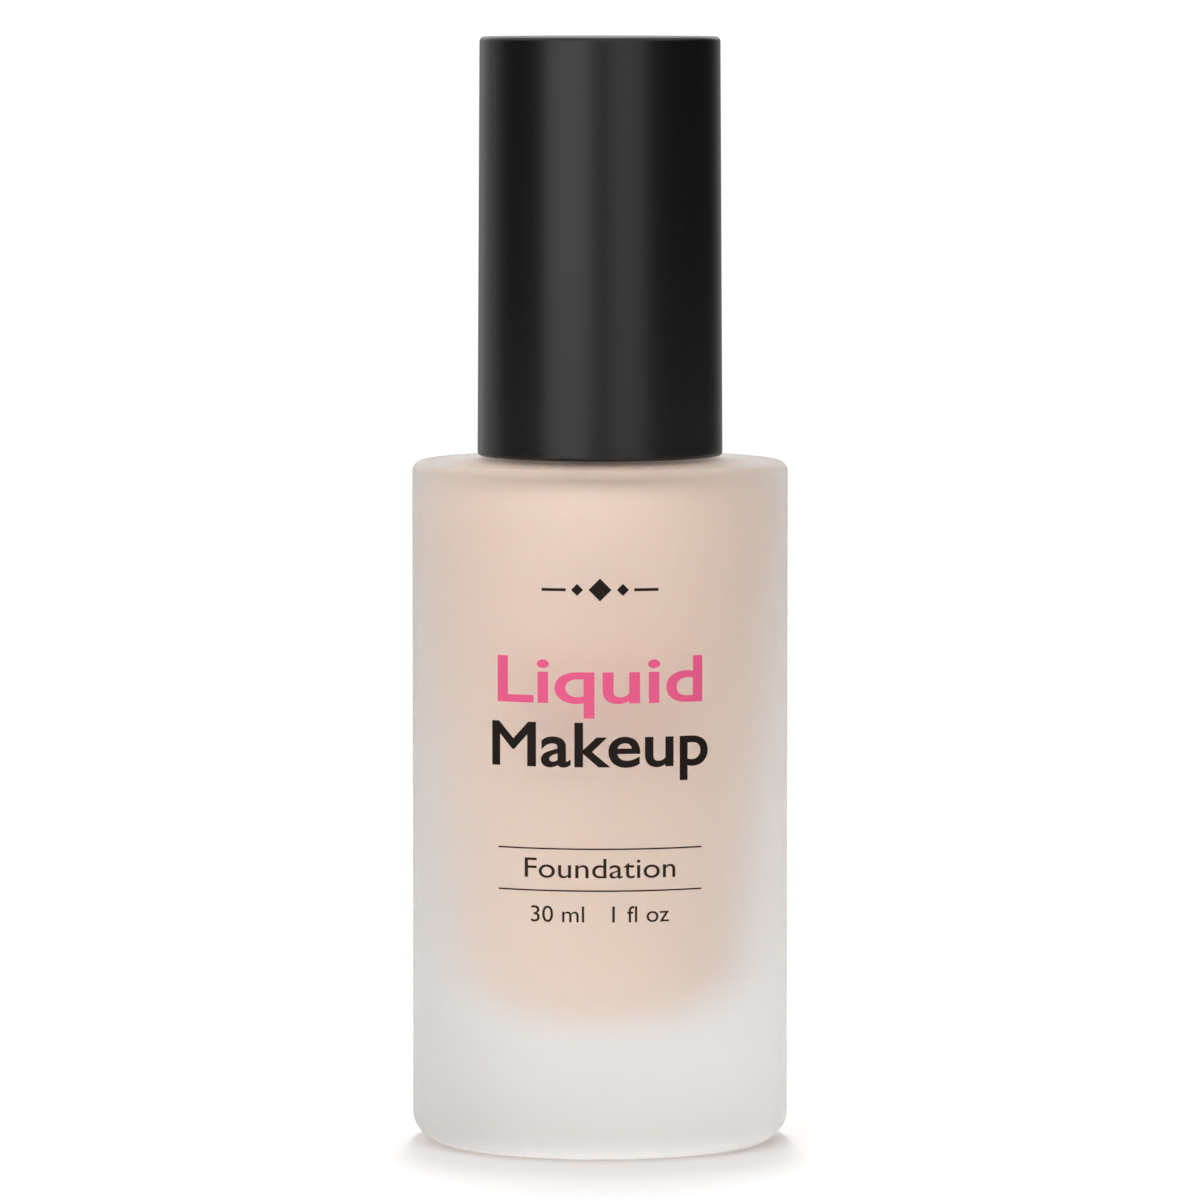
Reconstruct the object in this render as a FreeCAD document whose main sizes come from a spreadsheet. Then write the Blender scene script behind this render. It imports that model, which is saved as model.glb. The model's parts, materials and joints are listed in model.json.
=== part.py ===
import FreeCAD, Part
import math
import os
import re
import Sketcher

# A free-standing foundation bottle: a heavy frosted glass body, a screw-on lotion pump and a
# tall overcap. The frame is +Z up, the origin is at the middle of the standing face, and the
# spout points along -Y, towards the printed front. Lengths are in millimetres.

SIZES = {
    # Glass body
    "bottle_radius": 20.0,
    "glass_height": 73.2,
    "shoulder_drop": 0.5,
    "shoulder_round": 1.2,
    "base_round": 3.2,
    "ring_width": 2.2,
    "punt_depth": 1.2,
    "punt_slope": 1.6,
    "floor_height": 13.2,
    "floor_round": 7.5,
    "least_flat": 0.5,
    "heel_wall": 9.2,
    "side_wall": 4.6,
    "shoulder_wall": 1.8,
    "cavity_round": 3.2,
    # Neck and its thread
    "neck_radius": 7.6,
    "neck_height": 14.8,
    "bore_clearance": 0.6,
    "neck_foot_round": 0.8,
    "land_round": 0.4,
    "thread_pitch": 3.175,
    "thread_depth": 1.0,
    "thread_foot": 1.5,
    "thread_crest": 0.7,
    "thread_turns": 1.5,
    "thread_root": 0.1,
    "thread_below_land": 2.2,
    # Liquid
    "liquid_clearance": 0.3,
    # Overcap and its liner
    "cap_gap": 0.1,
    "head_room": 5.85,
    "cap_taper": 0.25,
    "cap_wall": 1.2,
    "cap_crown": 1.5,
    "cap_round": 0.55,
    "cap_rim_round": 0.35,
    "liner_wall": 0.8,
    "liner_gap": 0.4,
    "nozzle_gap": 1.0,
    "liner_recess": 1.4,
    "rib_count": 6,
    "rib_width": 1.2,
    "rib_lead": 3.0,
    "stop_width": 2.0,
    "stop_overlap": 0.35,
    "stop_height": 3.0,
    # Pump: housing, valve and dip tube
    "gasket_thickness": 0.9,
    "gasket_inset": 0.2,
    "flange_inset": 0.3,
    "flange_thickness": 1.2,
    "chamber_radius": 3.5,
    "chamber_wall": 0.9,
    "chamber_cone": 2.4,
    "socket_wall": 1.0,
    "socket_depth": 6.0,
    "valve_passage": 1.3,
    "valve_radius": 1.1,
    "ball_radius": 1.5,
    "ball_lift": 1.0,
    "ball_guide": 0.4,
    "ball_gap": 0.15,
    "cage_thickness": 1.2,
    "slot_width": 0.9,
    "slot_inner_radius": 0.75,
    "slot_count": 4,
    "tube_radius": 1.6,
    "tube_wall": 0.5,
    "tube_above_floor": 2.2,
    "tube_slant": 1.4,
    # Pump: chaplet, stem and piston
    "plug_length": 6.2,
    "chaplet_overhang": 1.5,
    "chaplet_flange_thickness": 1.0,
    "turret_wall": 1.3,
    "turret_height": 3.4,
    "stem_radius": 1.8,
    "stem_wall": 0.8,
    "port_radius": 0.45,
    "port_gap": 0.2,
    "seal_thickness": 0.8,
    "piston_length": 3.4,
    "piston_lip": 0.8,
    "piston_waist": 0.5,
    "piston_slip": 0.8,
    "piston_gap": 0.2,
    "core_clearance": 0.8,
    "core_length": 2.75,
    "core_chamfer": 0.6,
    "spigot_length": 1.9,
    "spring_slack": 0.75,
    "spring_inset": 0.6,
    "spring_wire": 0.5,
    "spring_turns": 6.5,
    "press_travel": 4.5,
    # Closure and collar
    "closure_gap": 0.8,
    "closure_wall": 1.15,
    "closure_top": 1.2,
    "hole_clearance": 0.4,
    "closure_thread_depth": 0.95,
    "closure_thread_foot": 1.4,
    "closure_thread_crest": 0.6,
    "closure_thread_turns": 1.25,
    "thread_clearance": 0.2,
    "collar_gap": 0.3,
    "collar_wall": 0.6,
    "collar_lip": 1.0,
    "collar_overlap": 0.6,
    # Actuator
    "button_radius": 7.0,
    "button_height": 13.5,
    "button_wall": 1.2,
    "button_crown": 1.9,
    "button_round": 0.9,
    "dish_depth": 0.7,
    "dish_rim": 1.6,
    "button_clearance": 0.3,
    "post_wall": 1.15,
    "post_plate": 1.0,
    "way_gap": 1.75,
    "channel_radius": 0.9,
    "spout_radius": 1.8,
    "spout_bore_radius": 0.8,
    "spout_chamfer": 0.4,
    "spout_grip": 1.6,
    "spout_stand": 1.7,
    "boss_wall": 0.6,
    "boss_root": 0.6,
    "boss_stand": 0.9,
    "boss_clearance": 0.2,
    # Fits
    "fit": 0.05,
    "sliding_fit": 0.1,
    "edge_round": 0.2,
    # How far an outline that cuts runs past what it cuts
    "overrun": 1.0,
}

# Levels above the standing face and sizes that follow from the ones above.
DERIVED = {
    # Glass
    "land": "glass_height + neck_height",
    "cavity_ceiling": "glass_height - shoulder_wall",
    "cavity_bottom_radius": "bottle_radius - heel_wall",
    "cavity_top_radius": "bottle_radius - side_wall",
    "floor_arc": "min(floor_round, cavity_bottom_radius - least_flat)",
    "neck_bore_radius": "chamber_outside + bore_clearance",
    "thread_low": "land - thread_below_land - thread_turns * thread_pitch",
    # Closure and collar
    "gasket_radius": "neck_radius - gasket_inset",
    "flange_radius": "neck_radius - flange_inset",
    "flange_low": "land + gasket_thickness",
    "flange_top": "flange_low + flange_thickness",
    "closure_low": "glass_height + closure_gap",
    "closure_plate": "flange_top + fit",
    "closure_high": "closure_plate + closure_top",
    "closure_bore": "neck_radius + thread_depth + thread_clearance",
    "closure_radius": "closure_bore + closure_wall",
    "closure_hole_radius": "chaplet_flange_radius + hole_clearance",
    "collar_low": "glass_height + collar_gap",
    "collar_bore": "closure_radius + fit",
    "collar_radius": "collar_bore + collar_wall",
    "collar_high": "button_low + collar_overlap",
    # Actuator
    "post_low": "flange_top + chaplet_flange_thickness + turret_height + press_travel + button_clearance",
    "post_radius": "stem_radius + fit + post_wall",
    "stem_grip": "spout_level - post_low - way_gap",
    "stem_top": "post_low + stem_grip - fit",
    "button_low": "closure_high + press_travel + button_clearance",
    "button_high": "button_low + button_height",
    "dish_radius": "button_radius - dish_rim",
    "core_inside": "button_radius - button_wall - fit",
    "boss_radius": "spout_radius + boss_wall",
    "boss_low": "stem_radius + boss_clearance",
    "boss_end": "sqrt(core_inside * core_inside - boss_radius * boss_radius)",
    "boss_reach": "button_radius + boss_stand",
    "spout_level": "button_high - button_crown - boss_radius - sliding_fit",
    "spout_seat": "boss_end - spout_grip",
    "spout_reach": "boss_reach + spout_stand",
    # Overcap, which clears the collar and the spout
    "liner_bore": "max(collar_radius + liner_gap, spout_reach + nozzle_gap)",
    "liner_radius": "liner_bore + liner_wall",
    "shell_bore": "liner_radius + fit",
    "cap_radius": "shell_bore + cap_wall",
    "cap_low": "glass_height + cap_gap",
    "cap_height": "button_high + head_room + liner_wall + cap_crown - cap_low",
    "cap_slope": "cap_taper / cap_height",
    "liner_height": "cap_height - cap_crown - liner_recess",
    # Pump, from the flange down to the dip tube
    "chamber_outside": "chamber_radius + chamber_wall",
    "chaplet_flange_radius": "chamber_radius + chaplet_overhang",
    "turret_radius": "stem_radius + sliding_fit + turret_wall",
    "stem_bore_radius": "stem_radius - stem_wall",
    "seal_top": "flange_top - plug_length",
    "piston_top": "seal_top - seal_thickness - piston_slip - piston_gap",
    "core_radius": "chamber_radius - core_clearance",
    "core_top": "piston_top - piston_length - fit",
    "spring_radius": "core_radius - spring_inset",
    "spring_length": "press_travel + (spring_turns + 1) * spring_wire + spring_slack",
    "spring_top": "core_top - core_length",
    "cage_top": "spring_top - spring_length",
    "cage_low": "cage_top - cage_thickness",
    "valve_bore": "ball_radius + ball_guide",
    "valve_seat": "cage_low - ball_radius * 2 - ball_lift - ball_gap",
    "tube_top": "valve_seat - valve_passage",
    "tube_bore_radius": "tube_radius - tube_wall",
    "tube_low": "floor_height + tube_above_floor",
    "socket_outside": "tube_radius + socket_wall",
    "housing_low": "tube_top - socket_depth",
}

TOLERANCE = 1e-4

doc = FreeCAD.newDocument("foundation_bottle")
sheet = doc.addObject("Spreadsheet::Sheet", "sizes")
for row, (name, number) in enumerate(SIZES.items(), start=1):
    sheet.set(f"A{row}", name)
    sheet.set(f"B{row}", str(number))
    sheet.setAlias(f"B{row}", name)
doc.recompute()


def bound(expression):
    """Spell out an expression in cells of the sheet."""
    def spell(match):
        word = match.group(0)
        if word in DERIVED:
            return "(" + bound(DERIVED[word]) + ")"
        return "sizes." + word if word in SIZES else word
    return re.sub(r"[a-z]\w*", spell, str(expression))


def value(expression):
    """The number that an expression has now."""
    return float(sheet.evalExpression(bound(expression)))


def origin(body, role):
    return next(item for item in body.Origin.OriginFeatures if item.Role == role)


def new_body(label, level="0"):
    """A body whose own origin stands at a level on the bottle's axis."""
    body = doc.addObject("PartDesign::Body", label)
    body.Label = label
    body.setExpression("Placement.Base.z", bound(level))
    return body


def new_sketch(body, name, role, raised="0"):
    sketch = body.newObject("Sketcher::SketchObject", name)
    sketch.AttachmentSupport = (origin(body, role), [""])
    sketch.MapMode = "FlatFace"
    sketch.setExpression("AttachmentOffset.Base.z", bound(raised))
    return sketch


def pin(sketch, geometry, point, across, up):
    """Hold one point of a sketch at two expressions."""
    for kind, expression in (("DistanceX", across), ("DistanceY", up)):
        index = sketch.addConstraint(
            Sketcher.Constraint(kind, -1, 1, geometry, point, value(expression)))
        sketch.setExpression(f"Constraints[{index}]", bound(expression))


def outline(body, name, points, role="XZ_Plane", raised="0"):
    """A closed sketch through points that are pairs of expressions."""
    sketch = new_sketch(body, name, role, raised)
    places = [FreeCAD.Vector(value(across), value(up), 0) for across, up in points]
    for index, place in enumerate(places):
        sketch.addGeometry(Part.LineSegment(place, places[(index + 1) % len(places)]))
    for index in range(len(places)):
        sketch.addConstraint(
            Sketcher.Constraint("Coincident", index, 2, (index + 1) % len(places), 1))
    for index, (across, up) in enumerate(points):
        pin(sketch, index, 1, across, up)
    return sketch


def ring(body, name, across, up, radius, role="XZ_Plane", raised="0"):
    """A sketch that holds one circle."""
    sketch = new_sketch(body, name, role, raised)
    middle = FreeCAD.Vector(value(across), value(up), 0)
    sketch.addGeometry(Part.Circle(middle, FreeCAD.Vector(0, 0, 1), value(radius)))
    pin(sketch, 0, 3, across, up)
    index = sketch.addConstraint(Sketcher.Constraint("Radius", 0, value(radius)))
    sketch.setExpression(f"Constraints[{index}]", bound(radius))
    return sketch


def turn(body, name, points, kind="Revolution", role="XZ_Plane", axis="V_Axis"):
    """Turn an outline round an axis of its sketch, to add to the body or to cut it."""
    feature = body.newObject("PartDesign::" + kind, name)
    feature.Profile = (outline(body, name + "_outline", points, role), [""])
    feature.ReferenceAxis = (feature.Profile[0], [axis])
    feature.Angle = 360
    doc.recompute()
    return feature


def turned(label, level, points, **options):
    body = new_body(label, level)
    turn(body, "turned_" + label, points, **options)
    return body


def soften(body, size, places, kind="Fillet"):
    """Round or chamfer the circular edges of the last feature at (radius, height) places."""
    last = body.Tip
    names = []
    for radius, height in places:
        for number, edge in enumerate(last.Shape.Edges, start=1):
            curve = edge.Curve
            if (isinstance(curve, Part.Circle)
                    and math.isclose(curve.Radius, value(radius), abs_tol=TOLERANCE)
                    and math.isclose(curve.Center.z, value(height), abs_tol=TOLERANCE)):
                names.append(f"Edge{number}")
                break
        else:
            raise ValueError(f"{body.Label} has no edge at {radius}, {height}")
    feature = body.newObject("PartDesign::" + kind, f"{kind}_{len(body.Group)}")
    feature.Base = (last, names)
    feature.setExpression("Radius" if kind == "Fillet" else "Size", bound(size))
    doc.recompute()
    return feature


def wind(body, name, profile, pitch, turns):
    """Sweep a sketch along a right-handed helix round the body's axis."""
    feature = body.newObject("PartDesign::AdditiveHelix", name)
    feature.Profile = (profile, [""])
    feature.ReferenceAxis = (profile, ["V_Axis"])
    feature.Mode = "pitch-turns-angle"
    feature.Angle = 0
    feature.Growth = 0
    feature.HasBeenEdited = True
    feature.setExpression("Pitch", bound(pitch))
    feature.setExpression("Turns", bound(turns))
    doc.recompute()
    return feature


def extrude(body, name, sketch, length, kind="Pad", reversed_way=False):
    """Pad a sketch, or pocket the body with it, by a length along the sketch's normal."""
    feature = body.newObject("PartDesign::" + kind, name)
    feature.Profile = (sketch, [""])
    feature.setExpression("Length", bound(length))
    feature.Reversed = reversed_way
    doc.recompute()
    return feature


def repeat_round(body, name, feature, count):
    """Repeat a feature evenly round the body's axis."""
    pattern = body.newObject("PartDesign::PolarPattern", name)
    pattern.Originals = [feature]
    pattern.Axis = (origin(body, "Z_Axis"), [""])
    pattern.Angle = 360
    pattern.setExpression("Occurrences", bound(count))
    body.Tip = pattern
    doc.recompute()
    return pattern


def make_glass_bottle():
    ring_out = "bottle_radius - base_round"
    ring_in = f"{ring_out} - ring_width"
    body = turned("glass_bottle", "0", [
        ("0", "punt_depth"),
        (f"{ring_in} - punt_slope", "punt_depth"),
        (ring_in, "0"),
        ("bottle_radius", "0"),
        ("bottle_radius", "glass_height - shoulder_drop"),
        ("neck_radius", "glass_height"),
        ("neck_radius", "land"),
        ("neck_bore_radius", "land"),
        ("neck_bore_radius", "cavity_ceiling"),
        ("cavity_top_radius", "cavity_ceiling"),
        ("cavity_bottom_radius", "floor_height"),
        ("0", "floor_height"),
    ])
    soften(body, "floor_arc", [("cavity_bottom_radius", "floor_height")])
    soften(body, "cavity_round", [("cavity_top_radius", "cavity_ceiling")])
    soften(body, "base_round", [("bottle_radius", "0")])
    soften(body, "shoulder_round", [("bottle_radius", "glass_height - shoulder_drop")])
    soften(body, "neck_foot_round", [("neck_radius", "glass_height"),
                                     ("neck_bore_radius", "cavity_ceiling")])
    soften(body, "land_round", [("neck_radius", "land"), ("neck_bore_radius", "land")])
    ridge = outline(body, "thread_ridge", [
        ("neck_radius - thread_root", "thread_low - thread_foot / 2"),
        ("neck_radius + thread_depth", "thread_low - thread_crest / 2"),
        ("neck_radius + thread_depth", "thread_low + thread_crest / 2"),
        ("neck_radius - thread_root", "thread_low + thread_foot / 2"),
    ])
    wind(body, "neck_thread", ridge, "thread_pitch", "thread_turns")
    return body


def make_foundation_fill():
    """The liquid stands at the foot of the neck and leaves room for the pump and its tube."""
    wide = "chamber_outside + liquid_clearance"
    middle = "socket_outside + liquid_clearance"
    narrow = "tube_radius + liquid_clearance"
    body = turned("foundation_fill", "floor_height", [
        ("0", "0"),
        ("cavity_bottom_radius", "0"),
        ("cavity_top_radius", "cavity_ceiling - floor_height"),
        ("0", "cavity_ceiling - floor_height"),
    ])
    soften(body, "floor_arc", [("cavity_bottom_radius", "0")])
    soften(body, "cavity_round", [("cavity_top_radius", "cavity_ceiling - floor_height")])
    turn(body, "pump_channel", [
        ("0", "tube_low - liquid_clearance - floor_height"),
        (narrow, "tube_low - liquid_clearance - floor_height"),
        (narrow, "housing_low - liquid_clearance - floor_height"),
        (middle, "housing_low - liquid_clearance - floor_height"),
        (middle, "tube_top - liquid_clearance - floor_height"),
        (wide, "tube_top - liquid_clearance - floor_height + chamber_cone"),
        (wide, "land - floor_height"),
        ("0", "land - floor_height"),
    ], kind="Groove")
    return body


def make_cap_shell():
    top = "cap_radius - cap_taper"
    body = turned("cap_shell", "cap_low", [
        ("shell_bore", "0"),
        ("cap_radius", "0"),
        (top, "cap_height"),
        ("0", "cap_height"),
        ("0", "cap_height - cap_crown"),
        ("shell_bore - cap_slope * (cap_height - cap_crown)", "cap_height - cap_crown"),
    ])
    soften(body, "cap_round", [(top, "cap_height")])
    soften(body, "cap_rim_round", [("cap_radius", "0"), ("shell_bore", "0")])
    return body


def make_cap_liner():
    """A thin cup inside the shell. Ribs grip the collar and stops rest on its top edge."""
    body = turned("cap_liner", "cap_low + liner_recess", [
        ("liner_bore - cap_slope * liner_recess", "0"),
        ("liner_radius - cap_slope * liner_recess", "0"),
        ("liner_radius - cap_slope * (liner_recess + liner_height)", "liner_height"),
        ("0", "liner_height"),
        ("0", "liner_height - liner_wall"),
        ("liner_bore - cap_slope * (liner_recess + liner_height)", "liner_height - liner_wall"),
    ])
    inside = "liner_bore + liner_wall / 2"
    rib = outline(body, "rib_section", [
        ("collar_radius + fit", "-rib_width / 2"),
        (inside + " - cap_slope * (collar_high - cap_low)", "-rib_width / 2"),
        (inside + " - cap_slope * (collar_high - cap_low)", "rib_width / 2"),
        ("collar_radius + fit", "rib_width / 2"),
    ], role="XY_Plane", raised="rib_lead")
    pad = extrude(body, "rib", rib, "collar_high - cap_low - liner_recess - rib_lead")
    repeat_round(body, "ribs", pad, "rib_count")
    stop_low = "collar_high + fit - cap_low - liner_recess"
    stop = outline(body, "stop_section", [
        ("collar_radius - stop_overlap", "-stop_width / 2"),
        (inside + " - cap_slope * (collar_high + stop_height - cap_low)", "-stop_width / 2"),
        (inside + " - cap_slope * (collar_high + stop_height - cap_low)", "stop_width / 2"),
        ("collar_radius - stop_overlap", "stop_width / 2"),
    ], role="XY_Plane", raised=stop_low)
    pad = extrude(body, "stop", stop, "stop_height")
    repeat_round(body, "stops", pad, "rib_count")
    return body


def make_neck_gasket():
    return turned("neck_gasket", "land", [
        ("neck_bore_radius", "0"),
        ("gasket_radius", "0"),
        ("gasket_radius", "gasket_thickness"),
        ("neck_bore_radius", "gasket_thickness"),
    ])


def make_pump_housing():
    """Flange, metering chamber, ball seat and the socket of the dip tube, in one moulding."""
    def up(level):
        return f"{level} - housing_low"
    body = turned("pump_housing", "housing_low", [
        ("tube_radius", "0"),
        ("socket_outside", "0"),
        ("socket_outside", up("tube_top")),
        ("chamber_outside", up("tube_top") + " + chamber_cone"),
        ("chamber_outside", up("flange_low")),
        ("flange_radius", up("flange_low")),
        ("flange_radius", up("flange_top")),
        ("chamber_radius", up("flange_top")),
        ("chamber_radius", up("cage_low")),
        ("valve_bore", up("cage_low")),
        ("valve_bore", up("valve_seat") + " + valve_bore - valve_radius"),
        ("valve_radius", up("valve_seat")),
        ("valve_radius", up("tube_top")),
        ("tube_radius", up("tube_top")),
    ])
    soften(body, "edge_round", [("flange_radius", up("flange_top")),
                                ("socket_outside", "0")])
    return body


def make_dip_tube():
    """A straight tube whose foot is cut on a slant, so that it can't seal on the floor."""
    length = "tube_top - tube_low"
    body = turned("dip_tube", "tube_low", [
        ("tube_bore_radius", "0"),
        ("tube_radius", "0"),
        ("tube_radius", length),
        ("tube_bore_radius", length),
    ])
    wedge = outline(body, "slant", [
        ("-tube_radius - overrun", "-overrun"),
        ("tube_radius + overrun", "-overrun"),
        ("tube_radius + overrun", "tube_slant"),
        ("-tube_radius", "0"),
        ("-tube_radius - overrun", "0"),
    ])
    cut = extrude(body, "slanted_foot", wedge, "(tube_radius + overrun) * 2", kind="Pocket")
    cut.Midplane = True
    doc.recompute()
    return body


def make_ball_cage():
    """A slotted disc that stops the ball and carries the spring."""
    body = turned("ball_cage", "cage_low", [
        ("0", "0"),
        ("chamber_radius", "0"),
        ("chamber_radius", "cage_thickness"),
        ("0", "cage_thickness"),
    ])
    slot = outline(body, "slot_section", [
        ("slot_inner_radius", "-slot_width / 2"),
        ("valve_bore - fit", "-slot_width / 2"),
        ("valve_bore - fit", "slot_width / 2"),
        ("slot_inner_radius", "slot_width / 2"),
    ], role="XY_Plane")
    pocket = extrude(body, "slot", slot, "cage_thickness", kind="Pocket", reversed_way=True)
    repeat_round(body, "slots", pocket, "slot_count")
    return body


def make_inlet_ball():
    """The ball rests on the edge of the valve bore's cone, which slopes at 45 degrees."""
    seat = "valve_seat + ball_radius * sqrt(2) - valve_radius"
    body = new_body("inlet_ball", seat)
    ball = body.newObject("PartDesign::AdditiveSphere", "ball")
    ball.setExpression("Radius", bound("ball_radius - fit / 2"))
    doc.recompute()
    return body


def make_return_spring():
    body = new_body("return_spring", "cage_top + spring_wire / 2 + fit")
    wire = ring(body, "wire_section", "spring_radius", "0", "spring_wire / 2")
    pitch = "(spring_length - spring_wire - fit * 2) / spring_turns"
    wind(body, "coil", wire, pitch, "spring_turns")
    return body


def make_chaplet():
    """The plug that closes the chamber, with the turret that guides the stem."""
    flange_low = "plug_length"
    flange_high = "plug_length + chaplet_flange_thickness"
    top = flange_high + " + turret_height"
    bore = "stem_radius + sliding_fit"
    body = turned("chaplet", "seal_top", [
        (bore, "0"),
        ("chamber_radius", "0"),
        ("chamber_radius", flange_low),
        ("chaplet_flange_radius", flange_low),
        ("chaplet_flange_radius", flange_high),
        ("turret_radius", flange_high),
        ("turret_radius", top),
        (bore, top),
    ])
    soften(body, "edge_round", [("turret_radius", top),
                                ("chaplet_flange_radius", flange_high)])
    return body


def make_stem_seal():
    return turned("stem_seal", "seal_top - seal_thickness", [
        ("stem_radius + fit", "0"),
        ("chamber_radius", "0"),
        ("chamber_radius", "seal_thickness"),
        ("stem_radius + fit", "seal_thickness"),
    ])


def make_stem():
    """A tube with a cross hole just above the plug that closes its foot."""
    length = "stem_top - core_top"
    body = turned("stem", "core_top", [
        ("stem_bore_radius", "0"),
        ("stem_radius", "0"),
        ("stem_radius", length),
        ("stem_bore_radius", length),
    ])
    port = ring(body, "port_section", "0", "spigot_length + port_radius + port_gap", "port_radius")
    cut = extrude(body, "port", port, "(stem_radius + overrun) * 2", kind="Pocket")
    cut.Midplane = True
    doc.recompute()
    return body


def make_piston_core():
    body = turned("piston_core", "spring_top", [
        ("0", "0"),
        ("core_radius - core_chamfer", "0"),
        ("core_radius", "core_chamfer"),
        ("core_radius", "core_length"),
        ("stem_bore_radius", "core_length"),
        ("stem_bore_radius", "core_length + spigot_length"),
        ("0", "core_length + spigot_length"),
    ])
    return body


def make_piston():
    """A sleeve with a wiping lip at each end, free to slip on the stem."""
    bore = "stem_radius + fit"
    lip = "chamber_radius - fit"
    waist = f"{lip} - piston_waist"
    return turned("piston", "piston_top - piston_length", [
        (bore, "0"),
        (lip, "0"),
        (lip, "piston_lip"),
        (waist, "piston_lip + piston_waist"),
        (waist, "piston_length - piston_lip - piston_waist"),
        (lip, "piston_length - piston_lip"),
        (lip, "piston_length"),
        (bore, "piston_length"),
    ])


def make_closure():
    """The threaded inner cap that clamps the pump's flange to the glass."""
    height = "closure_high - closure_low"
    plate = "closure_plate - closure_low"
    body = turned("closure", "closure_low", [
        ("closure_bore", "0"),
        ("closure_radius", "0"),
        ("closure_radius", height),
        ("closure_hole_radius", height),
        ("closure_hole_radius", plate),
        ("closure_bore", plate),
    ])
    soften(body, "edge_round", [("closure_radius", height), ("closure_radius", "0")])
    middle = "thread_low - thread_pitch / 2 - closure_low"
    ridge = outline(body, "thread_ridge", [
        ("closure_bore + thread_root", f"{middle} - closure_thread_foot / 2"),
        ("closure_bore + thread_root", f"{middle} + closure_thread_foot / 2"),
        ("closure_bore - closure_thread_depth", f"{middle} + closure_thread_crest / 2"),
        ("closure_bore - closure_thread_depth", f"{middle} - closure_thread_crest / 2"),
    ])
    wind(body, "closure_thread", ridge, "thread_pitch", "closure_thread_turns")
    return body


def make_collar():
    """The decorative sleeve over the closure, with a lip that comes in to the button."""
    height = "collar_high - collar_low"
    mouth = "button_radius + button_clearance"
    body = turned("collar", "collar_low", [
        ("collar_bore", "0"),
        ("collar_radius", "0"),
        ("collar_radius", height),
        (mouth, height),
        (mouth, f"{height} - collar_lip"),
        ("collar_bore", f"{height} - collar_lip"),
    ])
    soften(body, "edge_round", [("collar_radius", height), ("collar_radius", "0"),
                                (mouth, height)])
    return body


def make_actuator_core():
    """The moulding inside the button: stem socket, channel and seat of the spout."""
    bore = "stem_radius + fit"
    plate_high = "button_high - button_crown - post_low"
    plate_low = f"{plate_high} - post_plate"
    channel_top = "spout_level - post_low"
    body = turned("actuator_core", "post_low", [
        (bore, "0"),
        ("post_radius", "0"),
        ("post_radius", plate_low),
        ("core_inside", plate_low),
        ("core_inside", plate_high),
        ("0", plate_high),
        ("0", channel_top),
        ("channel_radius", channel_top),
        ("channel_radius", "stem_grip"),
        (bore, "stem_grip"),
    ])
    boss = ring(body, "boss_section", "0", channel_top, "boss_radius", raised="boss_low")
    extrude(body, "spout_boss", boss, "boss_end - boss_low")
    seat = ring(body, "seat_section", "0", channel_top, "spout_radius", raised="spout_seat")
    extrude(body, "seat", seat, "button_radius", kind="Pocket", reversed_way=True)
    way = ring(body, "way_section", "0", channel_top, "spout_bore_radius")
    extrude(body, "way", way, "spout_seat + overrun", kind="Pocket", reversed_way=True)
    return body


def make_actuator_button():
    """The finger pad: a cup upside down, with a dished top and a boss round the spout."""
    inside = "button_radius - button_wall"
    ceiling = "button_height - button_crown"
    body = turned("actuator_button", "button_low", [
        (inside, "0"),
        ("button_radius", "0"),
        ("button_radius", "button_height"),
        ("0", "button_height"),
        ("0", ceiling),
        (inside, ceiling),
    ])
    soften(body, "button_round", [("button_radius", "button_height")])
    soften(body, "edge_round", [("button_radius", "0")])
    middle = "spout_level - button_low"
    boss = ring(body, "boss_section", "0", middle, "boss_radius", raised="button_radius - boss_root")
    extrude(body, "spout_boss", boss, "boss_reach - button_radius + boss_root")
    hole = ring(body, "hole_section", "0", middle, "spout_radius", raised=f"{inside} - overrun")
    extrude(body, "spout_hole", hole, "boss_reach", kind="Pocket", reversed_way=True)
    dish = body.newObject("PartDesign::SubtractiveSphere", "dish")
    sphere = "((dish_radius * dish_radius + dish_depth * dish_depth) / (2 * dish_depth))"
    dish.setExpression("Radius", bound(sphere))
    dish.AttachmentSupport = (origin(body, "XY_Plane"), [""])
    dish.MapMode = "FlatFace"
    dish.setExpression("AttachmentOffset.Base.z", bound(f"button_height - dish_depth + {sphere}"))
    doc.recompute()
    return body


def make_nozzle_insert():
    """The spout: a short tube pressed through the button into the core, along -Y."""
    return turned("nozzle_insert", "spout_level", [
        ("-spout_reach", "spout_bore_radius"),
        ("-spout_reach", "spout_radius - spout_chamfer"),
        ("-spout_reach + spout_chamfer", "spout_radius"),
        ("-spout_seat", "spout_radius"),
        ("-spout_seat", "spout_bore_radius"),
    ], role="YZ_Plane", axis="H_Axis")


PIECES = [
    make_glass_bottle(),
    make_foundation_fill(),
    make_cap_shell(),
    make_cap_liner(),
    make_neck_gasket(),
    make_pump_housing(),
    make_dip_tube(),
    make_ball_cage(),
    make_inlet_ball(),
    make_return_spring(),
    make_chaplet(),
    make_stem_seal(),
    make_stem(),
    make_piston_core(),
    make_piston(),
    make_closure(),
    make_collar(),
    make_actuator_core(),
    make_actuator_button(),
    make_nozzle_insert(),
]
doc.recompute()

for item in doc.Objects:
    if any(word in item.State for word in ("Invalid", "Error")):
        raise RuntimeError(f"{item.Name} failed: {item.State}")
for piece in PIECES:
    if piece.Shape.isNull() or not piece.Shape.isValid():
        raise RuntimeError(f"{piece.Label} has no valid shape")

os.makedirs("parts", exist_ok=True)
for piece in PIECES:
    piece.Shape.exportStep(f"parts/{piece.Label}.step")
    solids = len(piece.Shape.Solids)
    low, high = piece.Shape.BoundBox.ZMin, piece.Shape.BoundBox.ZMax
    print(f"{piece.Label}: {solids} solid, {piece.Shape.Volume:.1f} mm3, z {low:.2f} to {high:.2f}")
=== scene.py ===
import json
import math
import bmesh
import bpy
from mathutils import Matrix, Vector


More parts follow.
